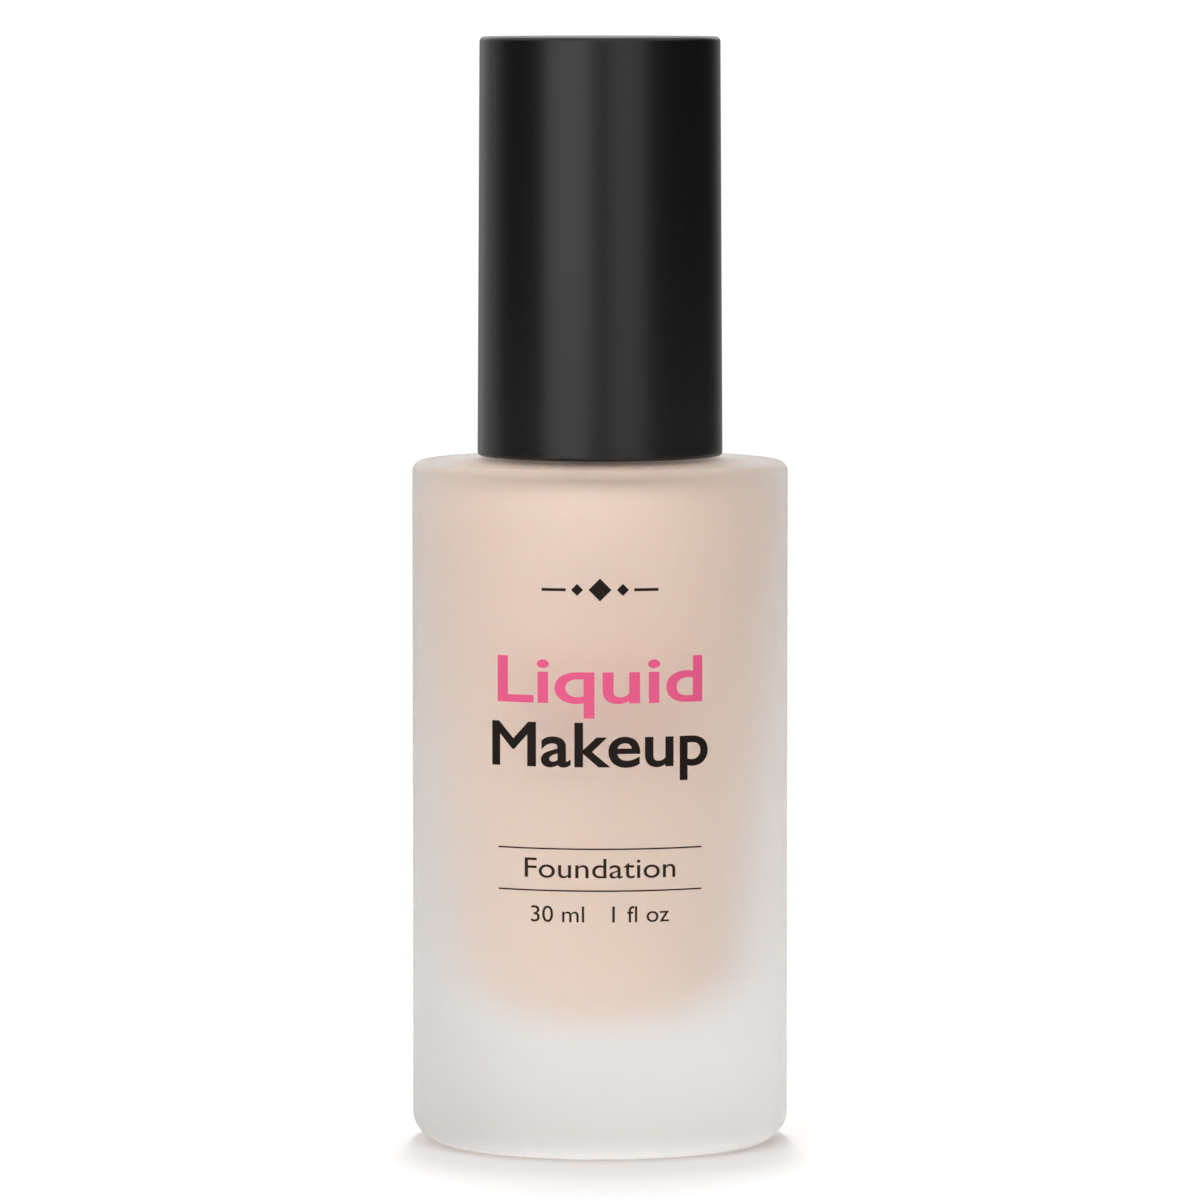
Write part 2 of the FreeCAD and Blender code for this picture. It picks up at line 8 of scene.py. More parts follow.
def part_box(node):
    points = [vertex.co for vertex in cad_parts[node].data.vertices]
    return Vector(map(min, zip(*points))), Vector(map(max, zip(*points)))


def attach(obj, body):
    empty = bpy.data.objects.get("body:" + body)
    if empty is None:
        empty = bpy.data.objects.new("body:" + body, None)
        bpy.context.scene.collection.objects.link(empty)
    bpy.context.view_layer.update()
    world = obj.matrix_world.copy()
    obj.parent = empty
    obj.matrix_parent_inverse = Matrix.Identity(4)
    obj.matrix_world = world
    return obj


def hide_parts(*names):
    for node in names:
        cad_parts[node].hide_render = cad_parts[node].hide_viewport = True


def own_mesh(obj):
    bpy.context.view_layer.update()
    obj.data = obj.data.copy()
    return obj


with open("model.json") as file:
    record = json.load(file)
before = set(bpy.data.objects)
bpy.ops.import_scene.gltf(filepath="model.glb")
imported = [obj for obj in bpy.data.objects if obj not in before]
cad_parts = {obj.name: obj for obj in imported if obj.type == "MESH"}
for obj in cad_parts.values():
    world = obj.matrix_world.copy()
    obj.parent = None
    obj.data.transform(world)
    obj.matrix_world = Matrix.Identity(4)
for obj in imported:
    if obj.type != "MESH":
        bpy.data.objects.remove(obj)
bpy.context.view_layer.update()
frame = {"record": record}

# A frosted glass foundation bottle with a lotion pump and a tall satin overcap. Radii, levels and
# rounds below are millimetres, measured from the middle of the standing face. The studio's sizes and
# the camera's are metres and degrees.
MM = 0.001
FULL_TURN = 2 * math.pi


def radius_of(node):
    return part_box(node)[1][0] / MM


def levels_of(node):
    low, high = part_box(node)
    return low[2] / MM, high[2] / MM


# ---------------------------------------------------------------- sizes
BOTTLE_RADIUS = radius_of("glass_bottle")
LAND = levels_of("glass_bottle")[1]
PUNT_DEPTH = 1.2
PUNT_RADIUS = 13.0
STANDING_RADIUS = 14.6
HEEL_ROUND = 3.2
NECK_HEIGHT = 14.8
NECK_RADIUS = 7.6
NECK_FOOT_ROUND = 0.8
BORE_RADIUS = 5.0
LAND_ROUND = 0.4
SHOULDER = LAND - NECK_HEIGHT
SHOULDER_DROP = 0.5
SHOULDER_ROUND = 1.2

THREAD_PITCH = 3.175
THREAD_TURNS = 1.5
THREAD_DEPTH = 1.0
THREAD_SINK = 0.1
THREAD_HALF_ROOT = 0.75
THREAD_HALF_CREST = 0.35
THREAD_BELOW_LAND = 2.2
THREAD_LOW = LAND - THREAD_BELOW_LAND - THREAD_PITCH * THREAD_TURNS
FADE_RATE = 9
FADED_DEPTH = 0.02

BASE_WALL = 9.2
UPPER_WALL = 4.6
CAVITY_FLOOR, CAVITY_CEILING = levels_of("foundation_fill")
CAVITY_BOTTOM_RADIUS = BOTTLE_RADIUS - BASE_WALL
CAVITY_TOP_RADIUS = BOTTLE_RADIUS - UPPER_WALL
FLOOR_ROUND = 7.5
CEILING_ROUND = 3.2
WETTING = 0.06

CAP_RADIUS = radius_of("cap_shell")
CAP_BOTTOM, CAP_TOP = levels_of("cap_shell")
CAP_TAPER = 0.25
CAP_WALL = 1.2
CAP_CROWN = 1.5
CAP_MOUTH_ROUND = 0.35
CAP_TOP_ROUND = 0.55

COLLAR_RADIUS = radius_of("collar")
COLLAR_BOTTOM, COLLAR_TOP = levels_of("collar")
COLLAR_WALL = 0.6
COLLAR_LIP = 1.0
COLLAR_LOW_ROUND = 0.2
COLLAR_TOP_ROUND = 0.45

BUTTON_RADIUS = radius_of("actuator_button")
BUTTON_BOTTOM, BUTTON_TOP = levels_of("actuator_button")
BUTTON_WALL = 1.2
BUTTON_CROWN = 1.9
DISH_RADIUS = 5.4
DISH_DEPTH = 0.7
DISH_ROUND = 0.6
BUTTON_TOP_ROUND = 0.9
BUTTON_LOW_ROUND = 0.2
BUTTON_PLAY = 0.3
MOUTH_RADIUS = BUTTON_RADIUS + BUTTON_PLAY

SPOUT_RADIUS = 1.8
SPOUT_BORE = 0.8
SPOUT_TIP = -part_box("nozzle_insert")[0][1] / MM
SPOUT_SEAT = -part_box("nozzle_insert")[1][1] / MM
SPOUT_LEVEL = sum(levels_of("nozzle_insert")) / 2
SPOUT_ROUND = 0.4
SPOUT_MOUTH_ROUND = 0.15
BOSS_RADIUS = 2.4
BOSS_ROUND = 0.25
BOSS_ROOT = BUTTON_RADIUS - 0.9
BOSS_REACH = -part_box("actuator_button")[0][1] / MM

TUBE_RADIUS = radius_of("dip_tube")
TUBE_LOW = levels_of("dip_tube")[0]
HOUSING_LOW = levels_of("pump_housing")[0]
SOCKET_RADIUS = 2.6
SOCKET_DEPTH = 6.0
CHAMBER_RADIUS = 4.4
CHAMBER_CONE = 2.4
ROOM_IN_LIQUID = 0.3

SPRING_LOW, SPRING_HIGH = levels_of("return_spring")
WIRE_RADIUS = 0.25
COIL_RADIUS = radius_of("return_spring") - WIRE_RADIUS
ACTIVE_COILS = 5
CLOSED_COIL_PITCH = 2.08 * WIRE_RADIUS

INK_THICKNESS = 0.02
INK_STEP = 0.5
CAPITAL_HEIGHT = 0.73
BOLDER = 0.014
ORNAMENT_LEVEL = 60.3
LOZENGE = 1.7
SMALL_LOZENGE = 0.9
RULE_WIDTH = 22.4
RULE_HEIGHT = 0.16

BACK_LEVEL = 0.47
TOP_LEVEL = 1.25
SEEN_LEVEL = 1.02
FLOOR_RADIUS = 0.45
FLOOR_SHOWN = 0.8
FLOOR_WHITE = 0.1
FLOOR_GLOW = 0.8
LIGHT_AIM = (0, 0, 0.055)
CAMERA_DISTANCE = 0.9408
CAMERA_HEIGHT = 0.126
CAMERA_PITCH = 4.146
LENS = 265.3


# ---------------------------------------------------------------- mesh helpers
def finished(name, bm, body, sharp=32):
    """Turn a bmesh into a smooth-shaded object that rides on a body."""
    mesh = bpy.data.meshes.new(name)
    bm.to_mesh(mesh)
    bm.free()
    for polygon in mesh.polygons:
        polygon.use_smooth = True
    mesh.set_sharp_from_angle(angle=math.radians(sharp))
    piece = bpy.data.objects.new(name, mesh)
    bpy.context.scene.collection.objects.link(piece)
    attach(piece, body)
    return piece


def rounded_outline(bm, corners, closed):
    """A wire in the XZ plane through (radius, height, round) corners, with the rounds cut."""
    verts = [bm.verts.new((radius * MM, 0, height * MM)) for radius, height, _ in corners]
    followers = verts[1:] + verts[:1] if closed else verts[1:]
    for pair in zip(verts, followers):
        bm.edges.new(pair)
    for vert, (_, _, size) in zip(verts, corners):
        if size:
            one, two = [edge.other_vert(vert).co - vert.co for edge in vert.link_edges]
            reach = size * MM / math.tan(one.angle(two) / 2)
            bmesh.ops.bevel(bm, geom=[vert], affect="VERTICES", offset=reach,
                            offset_type="OFFSET", segments=10, profile=0.5, material=-1)


def turned_mesh(corners, steps, closed):
    bm = bmesh.new()
    rounded_outline(bm, corners, closed)
    bmesh.ops.spin(bm, geom=bm.verts[:] + bm.edges[:], cent=(0, 0, 0), axis=(0, 0, 1),
                   angle=FULL_TURN, steps=steps, use_merge=True)
    bmesh.ops.remove_doubles(bm, verts=bm.verts, dist=0.001 * MM)
    bmesh.ops.recalc_face_normals(bm, faces=bm.faces)
    return bm


def turned(name, body, corners, steps=160, closed=True):
    """A solid of revolution about the bottle's axis. An open outline starts and ends on the axis."""
    return finished(name, turned_mesh(corners, steps, closed), body)


def turned_forward(name, body, corners, level):
    """A solid of revolution about a level line that runs forward, with heights as reach forward."""
    bm = turned_mesh(corners, 64, True)
    lay_down = Matrix.Translation((0, 0, level * MM)) @ Matrix.Rotation(math.pi / 2, 4, "X")
    bmesh.ops.transform(bm, matrix=lay_down, verts=bm.verts)
    return finished(name, bm, body)


def wound(bm, profile, stages):
    """Wind a closed ring of edges round the axis, by (turns, pitch) stages, and close its ends."""
    steps = 48
    bmesh.ops.contextual_create(bm, geom=profile)
    edges = profile
    for turns, pitch in stages:
        count = round(steps * turns)
        ends = bmesh.ops.spin(bm, geom=edges, cent=(0, 0, 0), axis=(0, 0, 1), angle=FULL_TURN * turns,
                              steps=count, dvec=(0, 0, pitch * turns * MM / count))["geom_last"]
        edges = [item for item in ends if isinstance(item, bmesh.types.BMEdge)]
    bmesh.ops.contextual_create(bm, geom=edges)
    bmesh.ops.recalc_face_normals(bm, faces=bm.faces)


def refined(node, slot, material):
    """A welded, smooth-shaded copy of a CAD node that stands for it."""
    bm = bmesh.new()
    bm.from_mesh(bpy.data.objects[node].data)
    bmesh.ops.remove_doubles(bm, verts=bm.verts, dist=0.002 * MM)
    piece = finished(node + "_piece", bm, BODY_OF[node])
    piece.data.materials.clear()
    dress(piece, node, slot, material)


def dress(piece, node, slot, *materials):
    """Put materials on a piece and let it stand for its CAD node. The slot argument is not used."""
    if node:
        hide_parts(node)
    for material in materials:
        piece.data.materials.append(material)


BODY_OF = {node: body for body, nodes in frame["record"]["behaviour"]["bodies"].items()
           for node in nodes}


# ---------------------------------------------------------------- material helpers
def new_material(name):
    material = bpy.data.materials.new(name)
    material.use_nodes = True
    nodes = material.node_tree.nodes
    return material, nodes, material.node_tree.links, nodes["Principled BSDF"]


def grain(nodes, links, shader, scale, strength, distance, detail=4):
    """Fine surface grain as bump, in object space."""
    place = nodes.new("ShaderNodeTexCoord")
    noise = nodes.new("ShaderNodeTexNoise")
    noise.inputs["Scale"].default_value = scale
    noise.inputs["Detail"].default_value = detail
    bump = nodes.new("ShaderNodeBump")
    bump.inputs["Strength"].default_value = strength
    bump.inputs["Distance"].default_value = distance
    links.new(place.outputs["Object"], noise.inputs["Vector"])
    links.new(noise.outputs["Fac"], bump.inputs["Height"])
    links.new(bump.outputs["Normal"], shader.inputs["Normal"])
    return noise


def spread(nodes, links, source, low, high, socket):
    """Drive a shader socket with a texture, between two values."""
    span = nodes.new("ShaderNodeMapRange")
    span.inputs["To Min"].default_value = low
    span.inputs["To Max"].default_value = high
    links.new(source, span.inputs["Value"])
    links.new(span.outputs["Result"], socket)


def tinted(nodes, links, source, low, high, shader):
    """Vary the base colour between two colours with a texture."""
    ramp = nodes.new("ShaderNodeValToRGB")
    ramp.color_ramp.elements[0].color = (*low, 1)
    ramp.color_ramp.elements[1].color = (*high, 1)
    links.new(source, ramp.inputs["Fac"])
    links.new(ramp.outputs["Color"], shader.inputs["Base Color"])


# ---------------------------------------------------------------- materials
def frosted_glass():
    material, nodes, links, shader = new_material("frosted_glass")
    shader.inputs["Base Color"].default_value = (0.94, 0.94, 0.93, 1)
    shader.inputs["Transmission Weight"].default_value = 1.0
    shader.inputs["IOR"].default_value = 1.5
    noise = grain(nodes, links, shader, 2500, 0.15, 0.00002)
    spread(nodes, links, noise.outputs["Fac"], 0.60, 0.68, shader.inputs["Roughness"])
    return material


def clear_glass():
    material, nodes, links, shader = new_material("clear_glass")
    shader.inputs["Base Color"].default_value = (0.98, 0.985, 0.98, 1)
    shader.inputs["Transmission Weight"].default_value = 1.0
    shader.inputs["IOR"].default_value = 1.5
    noise = grain(nodes, links, shader, 120, 0.1, 0.0001, 1)
    spread(nodes, links, noise.outputs["Fac"], 0.02, 0.06, shader.inputs["Roughness"])
    return material


def liquid_foundation():
    material, nodes, links, shader = new_material("liquid_foundation")
    shader.inputs["Subsurface Weight"].default_value = 0.3
    shader.inputs["Subsurface Radius"].default_value = (1.0, 0.5, 0.3)
    shader.inputs["Subsurface Scale"].default_value = 0.001
    noise = grain(nodes, links, shader, 90, 0.05, 0.0002, 2)
    spread(nodes, links, noise.outputs["Fac"], 0.35, 0.45, shader.inputs["Roughness"])
    tinted(nodes, links, noise.outputs["Fac"], (0.89, 0.70, 0.59), (0.93, 0.74, 0.63), shader)
    return material


def moulded(name, color, rough, grain_scale=1800, grain_height=0.00001, spec=0.5):
    """Moulded plastic with a fine grain, slightly uneven gloss and slightly uneven colour."""
    material, nodes, links, shader = new_material(name)
    noise = grain(nodes, links, shader, grain_scale, 0.3, grain_height)
    spread(nodes, links, noise.outputs["Fac"], rough * 0.88, rough * 1.12, shader.inputs["Roughness"])
    shader.inputs["Specular IOR Level"].default_value = spec
    low = [channel * 0.92 for channel in color]
    high = [min(1, channel * 1.08) for channel in color]
    tinted(nodes, links, noise.outputs["Fac"], low, high, shader)
    return material


def natural_plastic(name, rough, milk):
    """Unpigmented plastic, which lets some light into its surface."""
    material = moulded(name, (0.82, 0.83, 0.82), rough, 900, 0.000008)
    shader = material.node_tree.nodes["Principled BSDF"]
    shader.inputs["Subsurface Weight"].default_value = milk
    shader.inputs["Subsurface Radius"].default_value = (1.0, 1.0, 0.9)
    shader.inputs["Subsurface Scale"].default_value = 0.0008
    shader.inputs["Transmission Weight"].default_value = 0.15
    return material


def steel(name, rough):
    """Bright steel with the fine streaks of drawing and polishing."""
    material, nodes, links, shader = new_material(name)
    shader.inputs["Metallic"].default_value = 1.0
    noise = grain(nodes, links, shader, 3000, 0.1, 0.000004)
    spread(nodes, links, noise.outputs["Fac"], rough * 0.7, rough * 1.3, shader.inputs["Roughness"])
    tinted(nodes, links, noise.outputs["Fac"], (0.56, 0.56, 0.55), (0.66, 0.66, 0.65), shader)
    return material


def foam(name, color, rough):
    """A soft sheet with open pores."""
    material, nodes, links, shader = new_material(name)
    noise = grain(nodes, links, shader, 4200, 0.8, 0.00006, 6)
    pores = noise.outputs["Fac"]
    spread(nodes, links, pores, rough * 0.9, min(1, rough * 1.1), shader.inputs["Roughness"])
    tinted(nodes, links, pores, [channel * 0.85 for channel in color], color, shader)
    return material


def ink(name, color):
    """Screen-printed ink, a little glossier than the etched glass."""
    return moulded(name, color, 0.55, 2600, 0.000004, 0.12)


# ---------------------------------------------------------------- glass and liquid
def make_glass():
    """The heavy body: satin outside, clear in the cavity and in the bore of the neck."""
    corners = [
        (0, PUNT_DEPTH, 0), (PUNT_RADIUS, PUNT_DEPTH, 0.6), (STANDING_RADIUS, 0, 0.5),
        (BOTTLE_RADIUS, 0, HEEL_ROUND), (BOTTLE_RADIUS, SHOULDER - SHOULDER_DROP, SHOULDER_ROUND),
        (NECK_RADIUS, SHOULDER, NECK_FOOT_ROUND), (NECK_RADIUS, LAND, LAND_ROUND),
        (BORE_RADIUS, LAND, LAND_ROUND), (BORE_RADIUS, CAVITY_CEILING, NECK_FOOT_ROUND),
        (CAVITY_TOP_RADIUS, CAVITY_CEILING, CEILING_ROUND),
        (CAVITY_BOTTOM_RADIUS, CAVITY_FLOOR, FLOOR_ROUND), (0, CAVITY_FLOOR, 0),
    ]
    piece = turned("glass_body", "bottle", corners, steps=192, closed=False)
    frosted, clear = frosted_glass(), clear_glass()
    dress(piece, "glass_bottle", "frosted_glass", frosted, clear)
    slack = 0.1
    for polygon in piece.data.polygons:
        reach = math.hypot(polygon.center.x, polygon.center.y) / MM
        level = polygon.center.z / MM
        in_cavity = reach < CAVITY_TOP_RADIUS + slack and level < CAVITY_CEILING + slack
        in_bore = reach < BORE_RADIUS + NECK_FOOT_ROUND
        if level > CAVITY_FLOOR - slack and (in_cavity or in_bore):
            polygon.material_index = 1
    return frosted


def make_neck_thread(glass):
    """The ridge that the closure runs on. It fades into the neck at both ends."""
    root = NECK_RADIUS - THREAD_SINK
    crest = NECK_RADIUS + THREAD_DEPTH
    bm = bmesh.new()
    section = [(root, -THREAD_HALF_ROOT), (crest, -THREAD_HALF_CREST),
               (crest, THREAD_HALF_CREST), (root, THREAD_HALF_ROOT)]
    verts = [bm.verts.new((radius * MM, 0, (THREAD_LOW + height) * MM)) for radius, height in section]
    edges = [bm.edges.new(pair) for pair in zip(verts, verts[1:] + verts[:1])]
    wound(bm, edges, [(THREAD_TURNS, THREAD_PITCH)])
    lowest = THREAD_LOW * MM
    rise = THREAD_PITCH * THREAD_TURNS * MM
    for vert in bm.verts:
        reach = math.hypot(vert.co.x, vert.co.y)
        if reach > NECK_RADIUS * MM:
            along = (vert.co.z - lowest) / rise
            fade = min(1, max(FADED_DEPTH, min(along, 1 - along) * FADE_RATE))
            height = root * MM + (reach - root * MM) * fade
            vert.co.x *= height / reach
            vert.co.y *= height / reach
    piece = finished("neck_thread", bm, "bottle", 50)
    dress(piece, None, "frosted_glass", glass)


def make_liquid():
    """The liquid wets the glass, and leaves a way for the pump and its tube."""
    top = CAVITY_CEILING + WETTING
    bottom = CAVITY_FLOOR - WETTING
    radii = (TUBE_RADIUS, SOCKET_RADIUS, CHAMBER_RADIUS)
    narrow, middle, wide = [radius + ROOM_IN_LIQUID for radius in radii]
    socket_low = HOUSING_LOW - ROOM_IN_LIQUID
    socket_high = socket_low + SOCKET_DEPTH
    corners = [
        (0, bottom, 0), (CAVITY_BOTTOM_RADIUS + WETTING, bottom, FLOOR_ROUND),
        (CAVITY_TOP_RADIUS + WETTING, top, CEILING_ROUND), (wide, top, 0),
        (wide, socket_high + CHAMBER_CONE, 0), (middle, socket_high, 0), (middle, socket_low, 0),
        (narrow, socket_low, 0), (narrow, TUBE_LOW - ROOM_IN_LIQUID, 0),
        (0, TUBE_LOW - ROOM_IN_LIQUID, 0),
    ]
    piece = turned("liquid", "bottle", corners, steps=128, closed=False)
    dress(piece, "foundation_fill", "liquid_foundation", liquid_foundation())


# ---------------------------------------------------------------- printing
def wrapped(name, bm, level, material):
    """Bend a flat print, drawn in the XY plane in millimetres, round the front of the glass."""
    edge = max(abs(vert.co.x) for vert in bm.verts)
    for number in range(-math.ceil(edge / INK_STEP), math.ceil(edge / INK_STEP) + 1):
        bmesh.ops.bisect_plane(bm, geom=bm.verts[:] + bm.edges[:] + bm.faces[:],
                               plane_co=(number * INK_STEP, 0, 0), plane_no=(1, 0, 0))
    bmesh.ops.remove_doubles(bm, verts=bm.verts, dist=0.0005)
    for vert in bm.verts:
        across, up, out = vert.co
        angle = across / BOTTLE_RADIUS
        reach = (BOTTLE_RADIUS + out) * MM
        vert.co = (reach * math.sin(angle), -reach * math.cos(angle), (level + up) * MM)
    piece = finished(name, bm, "bottle")
    dress(piece, None, "frosted_glass", material)


def print_words(name, words, width, capital, level, material, weight=0.0):
    """A line of lettering, as wide and as tall as given, that stands on a level."""
    curve = bpy.data.curves.new(name, "FONT")
    curve.body = words
    curve.align_x = "CENTER"
    curve.bevel_depth = weight
    curve.bevel_resolution = 0
    curve.resolution_u = 8
    curve.extrude = 1.0
    letters = bpy.data.objects.new(name + "_letters", curve)
    flat = bpy.data.meshes.new_from_object(letters)
    bpy.data.objects.remove(letters)
    bm = bmesh.new()
    bm.from_mesh(flat)
    bpy.data.meshes.remove(flat)
    bmesh.ops.remove_doubles(bm, verts=bm.verts, dist=0.001)
    left = min(vert.co.x for vert in bm.verts)
    right = max(vert.co.x for vert in bm.verts)
    bmesh.ops.translate(bm, vec=(-(left + right) / 2, 0, 0), verts=bm.verts)
    bmesh.ops.scale(bm, vec=(width / (right - left), capital / CAPITAL_HEIGHT, INK_THICKNESS),
                    verts=bm.verts)
    wrapped(name, bm, level, material)


def print_bar(name, width, height, level, material, across=0.0, turn=0.0):
    """A printed rule or, turned by an eighth, a printed lozenge."""
    bm = bmesh.new()
    bmesh.ops.create_cube(bm, size=1)
    bmesh.ops.scale(bm, vec=(width, height, 2 * INK_THICKNESS), verts=bm.verts)
    bmesh.ops.rotate(bm, cent=(0, 0, 0), matrix=Matrix.Rotation(turn, 3, "Z"), verts=bm.verts)
    bmesh.ops.translate(bm, vec=(across, 0, 0), verts=bm.verts)
    wrapped(name, bm, level, material)


def make_printing():
    """Generic lettering between thin rules, under a plain ornament."""
    black = ink("ink_black", (0.010, 0.006, 0.004))
    pink = ink("ink_pink", (0.71, 0.095, 0.225))
    brown = ink("ink_brown", (0.025, 0.014, 0.008))
    eighth = math.pi / 4
    print_bar("print_lozenge", LOZENGE, LOZENGE, ORNAMENT_LEVEL, black, turn=eighth)
    for side, word in ((-1, "left"), (1, "right")):
        print_bar(f"print_small_lozenge_{word}", SMALL_LOZENGE, SMALL_LOZENGE, ORNAMENT_LEVEL, black,
                  across=side * 2.4, turn=eighth)
        print_bar(f"print_dash_{word}", 2.6, 0.3, ORNAMENT_LEVEL, black, across=side * 4.9)
    print_words("print_first_word", "Liquid", 22.6, 5.0, 48.5, pink, BOLDER)
    print_words("print_second_word", "Makeup", 24.0, 4.8, 41.8, black, BOLDER)
    print_bar("print_upper_rule", RULE_WIDTH, RULE_HEIGHT, 33.1, brown)
    print_words("print_kind", "Foundation", 16.2, 2.2, 30.05, brown)
    print_bar("print_lower_rule", RULE_WIDTH, RULE_HEIGHT, 28.7, brown)
    print_words("print_volume", "30 ml   1 fl oz", 14.8, 1.8, 25.4, brown)


# ---------------------------------------------------------------- overcap
def make_cap():
    top = CAP_RADIUS - CAP_TAPER
    corners = [
        (CAP_RADIUS - CAP_WALL, CAP_BOTTOM, CAP_MOUTH_ROUND), (CAP_RADIUS, CAP_BOTTOM, CAP_MOUTH_ROUND),
        (top, CAP_TOP, CAP_TOP_ROUND), (0, CAP_TOP, 0), (0, CAP_TOP - CAP_CROWN, 0),
        (top - CAP_WALL, CAP_TOP - CAP_CROWN, 0),
    ]
    piece = turned("overcap", "cap", corners, steps=192)
    satin = moulded("cap_black", (0.004, 0.004, 0.0042), 0.32, spec=0.37)
    dress(piece, "cap_shell", "cap_black", satin)


# ---------------------------------------------------------------- pump
def make_collar():
    inside = COLLAR_RADIUS - COLLAR_WALL
    corners = [
        (inside, COLLAR_BOTTOM, 0), (COLLAR_RADIUS, COLLAR_BOTTOM, COLLAR_LOW_ROUND),
        (COLLAR_RADIUS, COLLAR_TOP, COLLAR_TOP_ROUND), (MOUTH_RADIUS, COLLAR_TOP, COLLAR_LOW_ROUND),
        (MOUTH_RADIUS, COLLAR_TOP - COLLAR_LIP, 0), (inside, COLLAR_TOP - COLLAR_LIP, 0),
    ]
    piece = turned("collar_sleeve", "closure_ring", corners)
    gloss = moulded("collar_black", (0.012, 0.012, 0.013), 0.08, 400, 0.000002)
    dress(piece, "collar", "collar_black", gloss)


def make_button(black):
    """The finger pad: a cup upside down with a dished top and a boss round the spout."""
    inside = BUTTON_RADIUS - BUTTON_WALL
    rings = 12
    dish = [(DISH_RADIUS * number / rings, BUTTON_TOP - DISH_DEPTH * (1 - (number / rings) ** 2), 0)
            for number in range(rings)]
    corners = dish + [
        (DISH_RADIUS, BUTTON_TOP, DISH_ROUND), (BUTTON_RADIUS, BUTTON_TOP, BUTTON_TOP_ROUND),
        (BUTTON_RADIUS, BUTTON_BOTTOM, BUTTON_LOW_ROUND), (inside, BUTTON_BOTTOM, BUTTON_LOW_ROUND),
        (inside, BUTTON_TOP - BUTTON_CROWN, 0), (0, BUTTON_TOP - BUTTON_CROWN, 0),
    ]
    piece = turned("button_pad", "head", corners)
    dress(piece, "actuator_button", "button_black", black)
    boss = turned_forward("spout_boss", "head", [
        (SPOUT_RADIUS, BOSS_ROOT, 0), (BOSS_RADIUS, BOSS_ROOT, 0), (BOSS_RADIUS, BOSS_REACH, BOSS_ROUND),
        (SPOUT_RADIUS, BOSS_REACH, 0),
    ], SPOUT_LEVEL)
    dress(boss, None, "button_black", black)


def make_nozzle():
    piece = turned_forward("spout", "head", [
        (SPOUT_BORE, SPOUT_SEAT, 0), (SPOUT_RADIUS, SPOUT_SEAT, 0),
        (SPOUT_RADIUS, SPOUT_TIP, SPOUT_ROUND), (SPOUT_BORE, SPOUT_TIP, SPOUT_MOUTH_ROUND),
    ], SPOUT_LEVEL)
    black = moulded("spout_black", (0.015, 0.015, 0.016), 0.2)
    dress(piece, "nozzle_insert", "button_black", black)


def make_spring():
    """Round wire with a closed coil at each end."""
    middle = SPRING_HIGH - SPRING_LOW - 2 * WIRE_RADIUS - 2 * CLOSED_COIL_PITCH
    bm = bmesh.new()
    stand = Matrix.Translation((COIL_RADIUS * MM, 0, (SPRING_LOW + WIRE_RADIUS) * MM))
    bmesh.ops.create_circle(bm, segments=14, radius=WIRE_RADIUS * MM,
                            matrix=stand @ Matrix.Rotation(math.pi / 2, 4, "X"))
    wound(bm, bm.edges[:], [(1, CLOSED_COIL_PITCH), (ACTIVE_COILS, middle / ACTIVE_COILS),
                            (1, CLOSED_COIL_PITCH)])
    piece = finished("spring_wire", bm, "pump_base")
    dress(piece, "return_spring", "steel", steel("spring_steel", 0.2))
    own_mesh(piece)


def make_inner_pieces():
    """Pieces whose shape is right as designed, with a finish each."""
    natural = natural_plastic("pump_natural", 0.3, 0.3)
    for node in ("actuator_core", "pump_housing", "chaplet", "ball_cage", "stem", "piston_core"):
        refined(node, "pump_natural", natural)
    soft = natural_plastic("tube_natural", 0.22, 0.5)
    for node in ("piston", "dip_tube"):
        refined(node, "tube_natural", soft)
    refined("cap_liner", "liner_black", moulded("liner_black", (0.02, 0.02, 0.021), 0.3))
    refined("closure", "closure_white", moulded("closure_white", (0.8, 0.8, 0.79), 0.35))
    refined("neck_gasket", "gasket_foam", foam("gasket_foam", (0.84, 0.84, 0.82), 0.8))
    rubber = moulded("seal_rubber", (0.05, 0.05, 0.05), 0.5, 2500, 0.00002)
    refined("stem_seal", "seal_rubber", rubber)
    refined("inlet_ball", "steel", steel("ball_steel", 0.08))


etched = make_glass()
make_neck_thread(etched)
make_liquid()
make_printing()
make_cap()
make_collar()
make_button(moulded("button_black", (0.015, 0.015, 0.016), 0.3))
make_nozzle()
make_spring()
make_inner_pieces()


# ---------------------------------------------------------------- studio
def make_floor():
    """A round white table, exposed so that it is white to the camera where nothing shades it."""
    bm = bmesh.new()
    bmesh.ops.create_circle(bm, cap_ends=True, segments=96, radius=FLOOR_RADIUS)
    mesh = bpy.data.meshes.new("floor")
    bm.to_mesh(mesh)
    bm.free()
    floor = bpy.data.objects.new("floor", mesh)
    bpy.context.scene.collection.objects.link(floor)
    material, nodes, links, shader = new_material("floor_white")
    nodes.remove(shader)
    path = nodes.new("ShaderNodeLightPath")
    choice = nodes.new("ShaderNodeMixShader")
    shown = nodes.new("ShaderNodeBsdfDiffuse")
    shown.inputs["Color"].default_value = (FLOOR_SHOWN, FLOOR_SHOWN, FLOOR_SHOWN, 1)
    matte = nodes.new("ShaderNodeBsdfDiffuse")
    matte.inputs["Color"].default_value = (FLOOR_WHITE, FLOOR_WHITE, FLOOR_WHITE, 1)
    glow = nodes.new("ShaderNodeEmission")
    glow.inputs["Strength"].default_value = FLOOR_GLOW
    both = nodes.new("ShaderNodeAddShader")
    links.new(matte.outputs["BSDF"], both.inputs[0])
    links.new(glow.outputs["Emission"], both.inputs[1])
    links.new(path.outputs["Is Camera Ray"], choice.inputs["Fac"])
    links.new(both.outputs["Shader"], choice.inputs[1])
    links.new(shown.outputs["BSDF"], choice.inputs[2])
    links.new(choice.outputs["Shader"], nodes["Material Output"].inputs["Surface"])
    mesh.materials.append(material)
    return floor


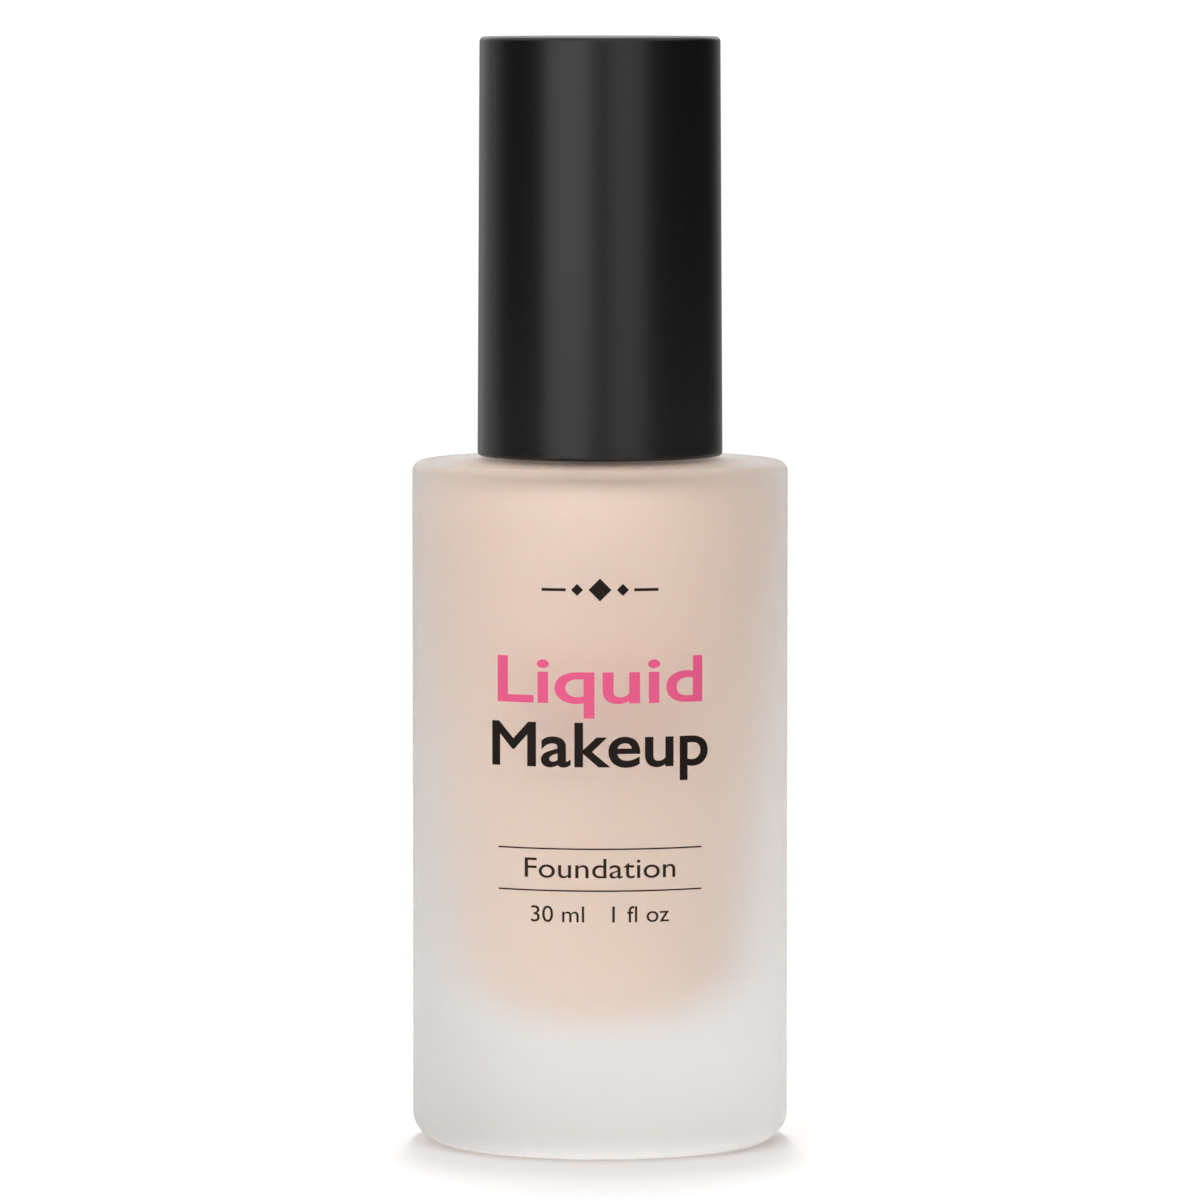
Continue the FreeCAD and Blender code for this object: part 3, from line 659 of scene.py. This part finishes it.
def softbox(name, azimuth, elevation, distance, size, radiance):
    """A rectangular area light that looks at the middle of the bottle."""
    data = bpy.data.lights.new(name, "AREA")
    data.shape = "RECTANGLE"
    data.size, data.size_y = size
    data.energy = radiance * math.pi * size[0] * size[1]
    light = bpy.data.objects.new(name, data)
    bpy.context.scene.collection.objects.link(light)
    turn = math.radians(azimuth)
    lift = math.radians(elevation)
    level_reach = math.cos(lift)
    place = Vector((math.sin(turn) * level_reach, -math.cos(turn) * level_reach, math.sin(lift)))
    light.location = Vector(LIGHT_AIM) + place * distance
    light.rotation_euler = place.to_track_quat("Z", "Y").to_euler()
    light.visible_camera = False
    return light


def world_ramp(nodes, links, source, stops):
    """Brightness of the room by one component of the direction."""
    span = nodes.new("ShaderNodeMapRange")
    span.inputs["From Min"].default_value = -1
    span.inputs["From Max"].default_value = 1
    ramp = nodes.new("ShaderNodeValToRGB")
    elements = ramp.color_ramp.elements
    for number, (place, level) in enumerate(stops):
        element = elements[number] if number < 2 else elements.new(place)
        element.position = place
        element.color = (level, level, level, 1)
    links.new(source, span.inputs["Value"])
    links.new(span.outputs["Result"], ramp.inputs["Fac"])
    return ramp.outputs["Color"]


def make_world():
    world = bpy.data.worlds.new("studio")
    bpy.context.scene.world = world
    world.use_nodes = True
    nodes, links = world.node_tree.nodes, world.node_tree.links
    nodes.clear()
    out = nodes.new("ShaderNodeOutputWorld")
    seen = nodes.new("ShaderNodeBackground")
    seen.inputs["Color"].default_value = (1, 1, 1, 1)
    seen.inputs["Strength"].default_value = SEEN_LEVEL
    lit = nodes.new("ShaderNodeBackground")
    lit.inputs["Strength"].default_value = 1.0
    path = nodes.new("ShaderNodeLightPath")
    mix = nodes.new("ShaderNodeMixShader")
    way = nodes.new("ShaderNodeTexCoord")
    split = nodes.new("ShaderNodeSeparateXYZ")
    links.new(way.outputs["Generated"], split.inputs["Vector"])
    front_to_back = [(0.0, 0.2), (1.0, BACK_LEVEL), (0.2, 0.08), (0.3, 0.01), (0.86, 0.03),
                     (0.97, BACK_LEVEL)]
    low_to_high = [(0.0, 0.0), (1.0, 1.0), (0.72, 0.0), (0.9, 1.0)]
    depth = world_ramp(nodes, links, split.outputs["Y"], front_to_back)
    height = world_ramp(nodes, links, split.outputs["Z"], low_to_high)
    lighten = nodes.new("ShaderNodeMix")
    lighten.data_type = "RGBA"
    lighten.inputs[7].default_value = (TOP_LEVEL, TOP_LEVEL, TOP_LEVEL, 1)
    links.new(height, lighten.inputs[0])
    links.new(depth, lighten.inputs[6])
    links.new(lighten.outputs[2], lit.inputs["Color"])
    links.new(path.outputs["Is Camera Ray"], mix.inputs["Fac"])
    links.new(lit.outputs["Background"], mix.inputs[1])
    links.new(seen.outputs["Background"], mix.inputs[2])
    links.new(mix.outputs["Shader"], out.inputs["Surface"])


def make_camera():
    data = bpy.data.cameras.new("camera")
    data.sensor_width = 36
    data.lens = LENS
    data.clip_start = 0.01
    data.clip_end = 20
    camera = bpy.data.objects.new("camera", data)
    bpy.context.scene.collection.objects.link(camera)
    camera.location = (0, -CAMERA_DISTANCE, CAMERA_HEIGHT)
    camera.rotation_euler = (math.pi / 2 - math.radians(CAMERA_PITCH), 0, 0)
    bpy.context.scene.camera = camera


floor = make_floor()
make_world()
make_camera()
softbox("key_left", -30, 12, 1.2, (1.0, 1.5), 2.05)
softbox("fill_right", 26, 12, 1.2, (0.75, 1.5), 1.27)
softbox("back", 180, 24, 1.2, (1.2, 0.5), 0.9)
softbox("rim_left", -132, 8, 1.2, (1.0, 1.5), 0.5)
on_the_floor = bpy.data.collections.new("on_the_floor")
on_the_floor.objects.link(floor)
overhead = softbox("overhead", 180, 78, 1.0, (0.07, 0.28), 66)
overhead.light_linking.receiver_collection = on_the_floor
bpy.context.scene.view_settings.view_transform = "Standard"
